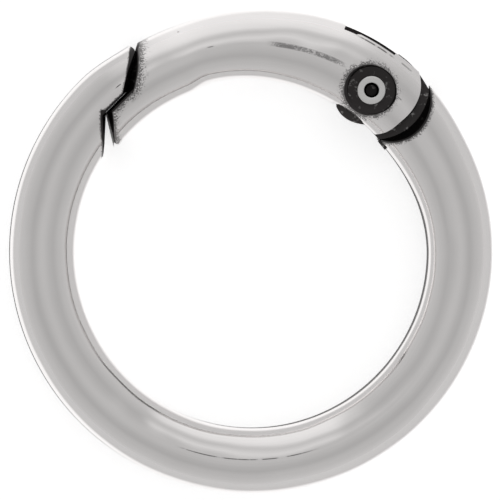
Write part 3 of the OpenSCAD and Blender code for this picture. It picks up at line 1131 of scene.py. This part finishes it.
@dataclass
class RingBody:
    """The ring body: the tube, its hollow shoulder, its tip and the hinge tongue.

    The tongue's web and its lug follow the ring at places given as angles and distances
    inwards. The tail's bulge is flattened about `belly_at`.
    """

    tube: BodyTube = BodyTube()
    joint: NoseJoint = NoseJoint(-1, inner_at=-56.0, end_bevel=0.20, stop_bevel=0.02)
    cut_from_r: float = 0.3
    tip_r: float = 0.34
    shoulder_r: float = 2.77
    rim: float = 0.42
    rim_from: float = 0.3
    tip_in: float = 0.12
    tongue_t: float = 0.85
    tail_r: float = 2.0
    tail_to: float = -130.0
    crown_from: float = 100.0
    cam_from: float = 1.5
    web_at: float = 60.0
    web_in: Span = (0.04, 0.50)
    web_in_over: Span = (39.0, 54.0)
    web_bottom: float = 0.46
    lug: Profile = ((60.0, 0.0), (52.8, 0.0), (52.8, 0.5), (49.0, 0.5), (49.0, 0.40), (43.5, 0.36))
    belly_at: float = 35.4
    belly_half: float = 5.5
    belly_r: float = 8.46
    belly_rise: float = 0.26
    belly_to: float = 9.2
    pin_hole_r: float = 0.69
    pin_hole_past: float = 0.5

    def build(self) -> Piece:
        """Makes the carved mesh and shades it."""
        piece = new_piece("ring_casting", self.tube.surface())
        far = at(0.0, self.cut_from_r), at(0.0, PLAN.outer_r + PLAN.far)
        carve(piece, [
            (Cut.AWAY, self.joint.cutter(*far)),
            (Cut.AWAY, self.tip()),
            (Cut.AWAY, self.shoulder()),
            (Cut.JOIN, self.tongue()),
            (Cut.AWAY, self.pin_hole()),
        ])
        smooth(piece, angle=32.0, tube=self.tube)
        return piece

    def tip(self) -> Piece:
        """Rounds the body's outer tip in plan."""
        c = self.joint.corners()
        face, t = unit(c[1] - c[0]), self.joint.outer_at
        edge = at(t, float(self.tube.outer(self.tube.stop)))
        p = crossing(c[0], face, edge, at(t + 90.0, 1.0))
        return self.joint.tip_cutter(p, at(t - 90.0, 1.0), face, self.tip_r)

    def shoulder(self) -> Piece:
        """The hollow for the gate's round end, whose rim opens out near both faces.

        Towards each face the radius grows by the rim's width, a little faster towards the
        top, and the circle's centre moves inwards by the tip.
        """
        levels = []
        for z in mirrored(np.linspace(self.rim_from, PLAN.half_t + PLAN.over, num=14)):
            e = (abs(z) - self.rim_from) / (PLAN.half_t - self.rim_from)
            centre = PLAN.end_centre - PLAN.out_way * self.tip_in * e
            r = self.shoulder_r + self.rim * opened(z, self.rim_from)
            levels += circles([(r, z)], centre, around=160)
        return lofted("shoulder_cutter", levels)

    def cam(self) -> Array:
        """The tail's flat and its cam, in the pivot's axes turned by the slant.

        The cam is an involute: at a turn v its point is (s + b v, -b) turned back by v,
        where s is its start and b its base radius.
        """
        b, v = PLAN.cam_r, np.radians(np.linspace(0.0, PLAN.opens, num=12))
        x, y = self.cam_from + b * v, -b
        cam = np.stack([x * np.cos(v) + y * np.sin(v), y * np.cos(v) - x * np.sin(v)], axis=-1)
        top = [[self.cam_from, math.sqrt(self.tail_r**2 - self.cam_from**2)]]
        c, s = math.cos(PLAN.slant), math.sin(PLAN.slant)
        flat = np.concatenate([top, cam]) @ np.array([[c, -s], [s, c]]).T
        return flat[np.hypot(flat[:, 0], flat[:, 1]) <= self.tail_r]

    def tongue(self) -> Piece:
        """The flat tongue: a round tail about the pin, and a web that runs into the body."""
        flat = self.cam()
        first, last = (math.atan2(y, x) for x, y in flat[[0, -1]])
        tail = spoke(np.linspace(last, math.radians(self.tail_to), num=40), self.tail_r)
        front = self.trimmed(PLAN.from_pivot(np.concatenate([flat, tail])))
        crown = spoke(np.linspace(math.radians(self.crown_from), first, num=24), self.tail_r)
        t = np.linspace(PLAN.pivot_at, self.web_at, num=30)
        drop = self.web_in[0] + self.web_in[1] * ease(t, *self.web_in_over)
        lug_at, lug_in = np.array(self.lug).T
        lug = at(lug_at, PLAN.gate_inner_r + self.web_bottom - lug_in)
        outline = [at(t, PLAN.gate_outer_r - drop), lug, front[::-1], PLAN.from_pivot(crown)[::-1]]
        half = self.tongue_t / 2.0
        levels = [(z, np.concatenate(outline)) for z in (-half, half)]
        return lofted("tongue_tool", levels, Face.TONGUE)

    def trimmed(self, points: Array) -> Array:
        """Flattens the tail's bulge: no nearer the ring's centre than r + d e^2.

        The share e is the angle from the bulge's middle over its half width.
        """
        r = np.hypot(points[:, 0], points[:, 1])
        t = np.degrees(np.arctan2(points[:, 0], points[:, 1]))
        least = self.belly_r + self.belly_rise * ((t - self.belly_at) / self.belly_half) ** 2
        return at(t, np.maximum(r, np.minimum(least, self.belly_to)))

    def pin_hole(self) -> Piece:
        """The hole for the rivet."""
        hole = both_ways([(self.pin_hole_r, PLAN.half_t + self.pin_hole_past)])
        return lofted("pin_cutter", circles(hole, PLAN.pivot))


@dataclass
class Gate:
    """The gate: the tube, its slotted hinge end, the sunk rivet seats and the nose.

    The window's upper lip is cut back over a stretch of the ring, less so after a step.
    """

    tube: GateTube = GateTube()
    joint: NoseJoint = NoseJoint(1)
    cut_over: Span = (-101.0, -57.4)
    tip_r: float = 0.18
    end_soft: float = 0.06
    end_soft_from: float = 1.2
    end_soft_over: float = 0.5
    end_relief: float = 0.2
    end_relief_over: Span = (-165.0, -128.0)
    end_box: float = 7.0
    slot_t: float = 0.95
    slot_r: float = 2.08
    slot_window: float = 3.35
    lip_over: Span = (22.8, 36.2)
    lip_in: float = 0.4
    lip_step: float = 0.17
    lip_step_over: Span = (25.4, 26.8)
    lip_top: float = 0.9
    lip_past: float = 2.0
    seat_z: float = 1.15
    seat_r: float = 1.25
    seat_lip: float = 0.07
    seat_lip_from: float = 1.38
    pin_hole_r: float = 0.66
    spring_hole: Profile = ((0.65, 1.3), (0.65, 6.2))

    def build(self) -> Piece:
        """Makes the carved mesh and shades it."""
        piece = new_piece("gate_casting", self.tube.surface())
        far = at(np.array(self.cut_over), PLAN.outer_r + PLAN.far)
        carve(piece, [
            (Cut.AWAY, self.joint.cutter(*far)),
            (Cut.AWAY, self.tip()),
            (Cut.AWAY, self.hinge_end()),
            (Cut.AWAY, self.slot()),
            (Cut.AWAY, self.window_lip()),
            (Cut.AWAY, self.seats()),
            (Cut.AWAY, along_spring("spring_cutter", self.spring_hole, Face.CUT, around=64)),
        ])
        smooth(piece, angle=32.0, tube=self.tube)
        return piece

    def tip(self) -> Piece:
        """Rounds the gate's inner tip in plan."""
        c = self.joint.corners()
        face, t = unit(c[2] - c[3]), self.joint.inner_at
        edge = at(t, float(self.tube.inner(self.tube.start)))
        p = crossing(c[3], face, edge, at(t + 90.0, 1.0))
        return self.joint.tip_cutter(p, face, at(t + 90.0, 1.0), self.tip_r)

    def hinge_end(self) -> Piece:
        """All that lies past the gate's rounded hinge end, which has a softened lip."""
        a = np.linspace(-90.0, -270.0, num=64)
        relief = self.end_relief * ease(a, *self.end_relief_over)
        box = self.end_box * np.array([[0.0, 1.0], [-1.0, 1.0], [-1.0, -1.0], [0.0, -1.0]])
        upper = np.linspace(self.end_soft_from, PLAN.half_t + PLAN.over, num=7)
        levels = []
        for z in mirrored(np.concatenate([[0.0], upper])):
            past = max(0.0, (abs(z) - self.end_soft_from) / self.end_soft_over)
            soft = self.end_soft * past**2
            arc = spoke(np.radians(a), PLAN.end_r - soft + relief) + [0.0, PLAN.end_offset]
            levels.append((z, PLAN.from_pivot(np.concatenate([arc, box]))))
        return lofted("end_cutter", levels)

    def slot(self) -> Piece:
        """The slot for the tongue, with a round end about the pin and a leaning window."""
        lean = (self.slot_window - self.slot_r) / (PLAN.gate_outer_r - PLAN.pivot_r)
        arc = spoke(np.linspace(-0.5 * math.pi, 0.0, num=32), self.slot_r)
        far = PLAN.far
        rest = [[self.slot_r + lean * far, far], [-far, far], [-far, -far], [0.0, -far]]
        outline = PLAN.from_pivot(np.concatenate([arc, rest]))
        half = self.slot_t / 2.0
        return lofted("slot_cutter", [(-half, outline), (half, outline)])

    def window_lip(self) -> Piece:
        """Cuts back the upper lip of the window between the slot's end and the tongue."""
        t = np.linspace(*self.lip_over, num=24)
        inside = PLAN.gate_outer_r - self.lip_in + self.lip_step * ease(t, *self.lip_step_over)
        outline = np.concatenate([at(t, inside), at(t[::-1], PLAN.gate_outer_r + self.lip_past)])
        return lofted("lip_cutter", [(0.0, outline), (self.lip_top, outline)])

    def seats(self) -> Piece:
        """The rivet's hole and its sunk seats, whose lips are rounded over.

        The seat's radius grows near the surface by the lip times the square of the share
        of the way from the lip's start to the crown.
        """
        z = np.linspace(self.seat_z + 0.12, PLAN.half_t + PLAN.over, num=9)
        e = np.maximum(z - self.seat_lip_from, 0.0) / (PLAN.half_t - self.seat_lip_from)
        wall = list(zip(self.seat_r + self.seat_lip * e**2, z))
        foot = [(self.seat_r - 0.10, self.seat_z), (self.seat_r - 0.03, self.seat_z + 0.03)]
        seat = both_ways([(self.pin_hole_r, self.seat_z), *foot, *wall])
        return lofted("seat_cutter", circles(seat, PLAN.pivot), Face.SEAT)


@dataclass
class PivotRivet:
    """The semi-tubular rivet: a head at each end, and a blind hole in the upper one."""

    hole_r: float = 0.38
    hole_depth: float = 1.6
    shank_r: float = 0.65
    head_r: float = 0.74
    seat_z: float = 1.17
    end_z: float = 1.47
    soft: float = 0.07
    mouth: float = 0.05
    point_r: float = 0.02
    around: int = 96

    def build(self) -> Piece:
        """Makes the turned rivet, and gives the hole's faces the dark slot.

        The profile climbs the outside, rolls over the upper head and goes down the hole.
        """
        a = np.linspace(0.0, 0.5 * math.pi, num=7)
        over = [self.head_r, self.end_z] - self.soft * (1.0 - spoke(a))
        into = [self.hole_r, self.end_z] + self.mouth * (1.0 - spoke(a))[:, ::-1] * [1.0, -1.0]
        step = [(self.shank_r, self.seat_z), (self.head_r, self.seat_z)]
        floor = self.end_z - self.hole_depth
        hole = [(self.hole_r, floor + 0.1), (self.hole_r - 0.1, floor), (self.point_r, floor)]
        outside = both_ways([*step, *over.tolist()])
        profile = [(self.point_r, -self.end_z), *outside, *into.tolist(), *hole]
        levels = circles(profile, PLAN.pivot, self.around)
        piece = lofted("rolled_rivet", levels, Face.SKIN)
        faces = piece.data.polygons
        deep = self.around * (len(profile) - 1 - len(hole))
        kind = np.where(np.arange(len(faces)) >= deep, Face.CUT.value, Face.SKIN.value)
        kind[-2] = Face.SKIN.value
        faces.foreach_set("material_index", kind.astype(np.int32))
        smooth(piece, angle=40.0)
        return piece


@dataclass
class GateSpring:
    """The closed coil that pushes the gate shut."""

    coil_r: float = 0.47
    wire_r: float = 0.1
    turns: int = 8
    start: float = 2.59
    stop: float = 6.18
    travel: float = 0.4
    around: int = 14
    steps: int = 36

    def build(self) -> Piece:
        """A round wire along a helix: each ring of points is square to the helix."""
        pitch = (self.stop - self.start - 2.0 * self.wire_r) / self.turns
        rise = math.atan2(pitch, 2.0 * math.pi * self.coil_r)
        a = np.linspace(0.0, 2.0 * np.pi * self.turns, self.steps * self.turns + 1)[:, None]
        b = full_turn(self.around)[None, :]
        r = self.coil_r + self.wire_r * np.cos(b)
        lean = self.wire_r * np.sin(b) * math.sin(rise)
        u = r * np.cos(a) + lean * np.sin(a)
        v = r * np.sin(a) - lean * np.cos(a)
        climb = self.wire_r * np.sin(b) * math.cos(rise)
        w = self.start + self.wire_r + pitch * a / (2.0 * np.pi) + climb
        piece = new_piece("coil_spring", (PLAN.by_spring(u, v, w), rolled(len(a), self.around)))
        smooth(piece, angle=50.0)
        return piece

    def shorten(self, piece: Piece) -> None:
        """Works out the coil's far end and gives the coil a mesh of its own; the coil does not
        shorten.

        Args:
            piece: the coil, already riding the gate.
        """
        start, way, _ = PLAN.spring_line()
        end = (start + self.stop * way) * MM
        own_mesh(piece)


@dataclass
class SpringPlunger:
    """The plunger between the coil and the tongue's cam."""

    head_r: float = 0.57
    stem_r: float = 0.3
    head_from: float = 1.52
    head_to: float = 2.57
    stem_to: float = 3.77
    bevel: float = 0.04

    def build(self) -> Piece:
        """Turned about the spring's line, with a small bevel at each edge."""
        b = self.bevel
        profile = [
            (self.head_r - b, self.head_from), (self.head_r, self.head_from + b),
            (self.head_r, self.head_to - b), (self.head_r - b, self.head_to),
            (self.stem_r, self.head_to), (self.stem_r, self.stem_to - b),
            (self.stem_r - b, self.stem_to),
        ]
        piece = along_spring("plunger_pin", profile, Face.SKIN, around=48)
        smooth(piece, angle=30.0)
        return piece


def finish(piece: Piece, materials: tuple[bpy.types.Material, ...]) -> None:
    """Puts materials on a piece's slots and drops the slots that it doesn't need.

    Args:
        piece: the object.
        materials: one material for each slot that stays.
    """
    while len(piece.data.materials) > len(materials):
        piece.data.materials.pop()
    for number, material in enumerate(materials):
        piece.data.materials[number] = material


@dataclass(frozen=True)
class Disc:
    """A soft-edged disc on the floor, full to one radius and gone at another."""

    x: float
    y: float
    full: float
    gone: float

    def inside(self, n: Nodes) -> Term:
        """The share that lies on the disc."""
        return n.between(n.distance((self.x, self.y, 0.0)), self.full, self.gone, 1.0, 0.0)

    def outside(self, n: Nodes) -> Term:
        """The share that lies off the disc."""
        return n.between(n.distance((self.x, self.y, 0.0)), self.full, self.gone)


@dataclass
class Studio:
    """Soft light from a wide bright sky, a pale floor, and the camera straight above.

    The sky is grey by angle from straight up. Its window towards +Y is brighter, and is
    grey by angle from an axis that leans 22 degrees to +X. The stops are places from 0
    for straight away to 1 for straight towards, with their greys.

    In reflections the floor is grey, darker away from +Y and close in. It is lit white
    between two discs, and shaded in a crescent between two more.
    """

    sky: Profile = (
        (0.0, 0.62), (0.50, 0.62), (0.56, 0.57), (0.70, 0.53), (0.80, 0.50), (0.90, 0.44),
        (0.955, 0.47), (1.0, 0.53),
    )
    window: Profile = (
        (0.0, 0.90), (0.40, 0.90), (0.50, 0.89), (0.60, 0.87), (0.675, 0.84), (0.75, 0.78),
        (0.81, 0.62), (0.85, 0.565), (0.90, 0.66), (0.93, 0.74), (0.95, 0.64), (0.965, 0.56),
        (1.0, 0.53),
    )
    window_axis: Triple = (0.375, 0.0, 0.927)
    window_north: Span = (0.78, 0.94)
    window_tilt: Span = (0.02, 0.2)
    floor_half: float = 150.0
    lit: tuple[Disc, Disc] = (Disc(-1.35, 0.0, 5.4, 7.2), Disc(-1.35, 0.0, 13.8, 15.8))
    shaded: tuple[Disc, Disc] = (Disc(-1.6, 0.5, 8.6, 9.2), Disc(-1.2, 0.0, 12.15, 12.5))
    north_over: Span = (0.82, 0.95)
    north_greys: Span = (0.52, 0.80)
    far_over: Span = (10.0, 14.0)
    far_greys: Span = (0.52, 0.9)
    shade_hides: float = 0.9
    shade_dims: float = 0.6
    floor_glow: float = 0.62
    floor_off: float = 0.35
    pale: Colour = (0.86, 0.86, 0.86)
    dim: Colour = (0.10, 0.10, 0.10)
    look_at: Span = (-0.00004, 0.00008)
    distance: float = 0.70
    view_width: float = 0.02586
    sensor: float = 36.0

    def build(self) -> None:
        """Adds the sky, the floor and the camera."""
        self._sky()
        self._floor()
        self._camera()

    def _sky(self) -> None:
        """Lights the world with the sky and its window."""
        world = bpy.data.worlds.new("soft_sky")
        bpy.context.scene.world = world
        world.use_nodes = True
        n = Nodes(world.node_tree)
        aim = Term(n, n.add("ShaderNodeTexCoord").outputs["Generated"])
        aim = n.vector("NORMALIZE", aim)
        sky = self._ramp(n, n.vector("DOT_PRODUCT", aim, (0.0, 0.0, 1.0)), self.sky)
        window = self._ramp(n, n.vector("DOT_PRODUCT", aim, self.window_axis), self.window)
        flat = n.vector("MULTIPLY", aim, (1.0, 1.0, 0.0))
        north = n.vector("DOT_PRODUCT", n.vector("NORMALIZE", flat), (0.0, 1.0, 0.0))
        tilt = n.between(n.vector("LENGTH", flat), *self.window_tilt)
        grey = n.mix(n.between(north, *self.window_north) * tilt, sky, window)
        n.feed(world.node_tree.nodes["Background"].inputs["Color"], grey)

    @staticmethod
    def _ramp(n: Nodes, cosine: Term, stops: Profile) -> Term:
        """Greys by the cosine of an angle.

        Args:
            n: the world's nodes.
            cosine: the cosine.
            stops: places and greys.

        Returns:
            The grey.
        """
        ramp = n.add("ShaderNodeValToRGB", {"Fac": cosine * 0.5 + 0.5})
        elements = ramp.color_ramp.elements
        while len(elements) < len(stops):
            elements.new(1.0)
        for element, (place, grey) in zip(elements, stops):
            element.position = place
            element.color = (grey, grey, grey, 1.0)
        return Term(n, ramp.outputs["Color"])

    def _floor(self) -> None:
        """A pale floor: white to the camera, and grey in reflections away from the ring."""
        half = self.floor_half
        corners = [[-half, -half, 0.0], [half, -half, 0.0], [half, half, 0.0], [-half, half, 0.0]]
        floor = new_piece("studio_floor", (np.array(corners), [[0, 1, 2, 3]]))
        material = bpy.data.materials.new("pale_floor")
        material.use_nodes = True
        tree = material.node_tree
        tree.nodes.remove(tree.nodes["Principled BSDF"])
        n = Nodes(tree)
        rays = n.add("ShaderNodeLightPath").outputs
        camera, glossy = Term(n, rays["Is Camera Ray"]), Term(n, rays["Is Glossy Ray"])
        lit, shade = (hole.outside(n) * disc.inside(n) for hole, disc in (self.lit, self.shaded))
        north = n.between(n.bearing((0.0, 1.0, 0.0)), *self.north_over, *self.north_greys)
        far = n.math("MINIMUM", north, n.between(n.distance(), *self.far_over, *self.far_greys))
        seen = (far + lit * (1.0 - far)) * (1.0 - shade * self.shade_hides)
        glow = n.most(camera * self.floor_glow, glossy * (seen - self.floor_off))
        paper = n.mix(shade * glossy * self.shade_dims, (*self.pale, 1.0), (*self.dim, 1.0))
        matt = n.add("ShaderNodeBsdfDiffuse", {"Color": paper}).outputs[0]
        light = n.add("ShaderNodeEmission", {"Strength": glow}).outputs[0]
        both = n.add("ShaderNodeAddShader", {0: Term(n, matt), 1: Term(n, light)}).outputs[0]
        n.feed(tree.nodes["Material Output"].inputs["Surface"], Term(n, both))
        finish(floor, (material,))

    def _camera(self) -> None:
        """A long lens straight above, turned so that +Y is up in the view."""
        lens = bpy.data.cameras.new("top_camera")
        lens.sensor_width = self.sensor
        lens.lens = self.sensor * (self.distance - PLAN.half_t * MM) / self.view_width
        lens.clip_start, lens.clip_end = 0.01, 5.0
        camera = bpy.data.objects.new("top_camera", lens)
        camera.location = (*self.look_at, self.distance)
        bpy.context.scene.collection.objects.link(camera)
        bpy.context.scene.camera = camera


def ring_finish() -> AntiqueSilver:
    """The ring body's silver: oxide beside the joint and the shoulder, and one long line along the
    crest that is a painted reflection of the camera.
    """
    body = RingBody()
    centre = PLAN.end_centre - 0.5 * body.tip_in * PLAN.out_way
    return AntiqueSilver("antique_silver_ring", (
        *body.joint.lips((-0.11, 0.31, 0.06), (0.02, 0.09, 0.05), (0.19, 0.10, 0.07)),
        RoundLip(body.rim, body.rim_from, 0.16, 0.10, centre, body.shoulder_r),
        # Painted reflection: the camera's dark reflection along the crest of the ring's lower
        # half.
        Mark(10.74, 160.0, 202.0, 0.035, 0.75),
        Mark(10.94, -39.9, -37.7, 0.03, 0.9),
    ))


def gate_finish() -> AntiqueSilver:
    """The gate's silver: oxide beside the joint and the rivet seats, and a speckled streak."""
    gate = Gate()
    centre = PLAN.pivot + np.array([-0.11, 0.01])
    return AntiqueSilver("antique_silver_gate", (
        *gate.joint.lips((0.26, 0.06, 0.38), (0.11, 0.12, 0.32), (0.26, 0.05, 0.34)),
        RoundLip(0.0, gate.seat_lip_from, 0.26, 0.07, centre, gate.seat_r),
        Mark(10.77, 4.0, 28.0, 0.16, 0.66, 1.5),
        Mark(12.44, 25.4, 37.0, 0.045, 0.8),
        Mark(12.47, 38.4, 42.0, 0.05, 0.5, 2.0),
        Mark(11.95, -18.6, -17.9, 0.035, 0.9),
        Mark(10.76, -12.4, -10.0, 0.03, 0.7),
        Mark(11.02, 43.0, 45.0, 0.04, 0.7),
    ))


def main() -> None:
    """Builds the clasp's pieces in order, then the studio."""
    logging.basicConfig(level=logging.INFO, format="%(name)s: %(message)s")
    bpy.context.scene.view_settings.view_transform = "Standard"
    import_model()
    effects = {"wear": wear_and_reflection_bands_effect(), "stipple": stipple_effect()}
    effects |= {"lip": lip_effect(), "rim": rim_effect(), "line": line_effect()}
    finishes = (
        ring_finish(),
        gate_finish(),
        BlackenedRecess("oxide_recess"),
        BlackenedRecess("oxide_tongue", (0.060, 0.056, 0.055), (0.45, 0.44, 0.43), 0.36),
        BlackenedRecess("oxide_seat"),
        TurnedSteel("turned_steel", tuple(PLAN.pivot)),
        TurnedSteel("spring_wire", lines=3.0),
        TurnedSteel("plunger_steel", lines=3.0, roughness=0.3),
    )
    ring, gate, recess, tongue, seat, rivet, wire, pin = (f.build(effects) for f in finishes)
    steps = (
        (RingBody(), "ring", "ring_body", Slot.RING, (ring, recess, tongue, recess)),
        (Gate(), "gate", "gate", Slot.GATE, (gate, recess, tongue, seat)),
        (PivotRivet(), "ring", "pivot_rivet", Slot.RIVET, (rivet, recess)),
        (GateSpring(), "gate", "gate_spring", Slot.SPRING, (wire,)),
        (SpringPlunger(), "plunger", "spring_plunger", Slot.PLUNGER, (pin,)),
    )
    for maker, body, node, slot, materials in steps:
        piece = maker.build()
        finish(piece, materials)
        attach(piece, body)
        if isinstance(maker, GateSpring):
            maker.shorten(piece)
        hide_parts(node)
        LOG.info("%s: %d faces", piece.name, len(piece.data.polygons))
    Studio().build()


if __name__ == "__main__":
    main()
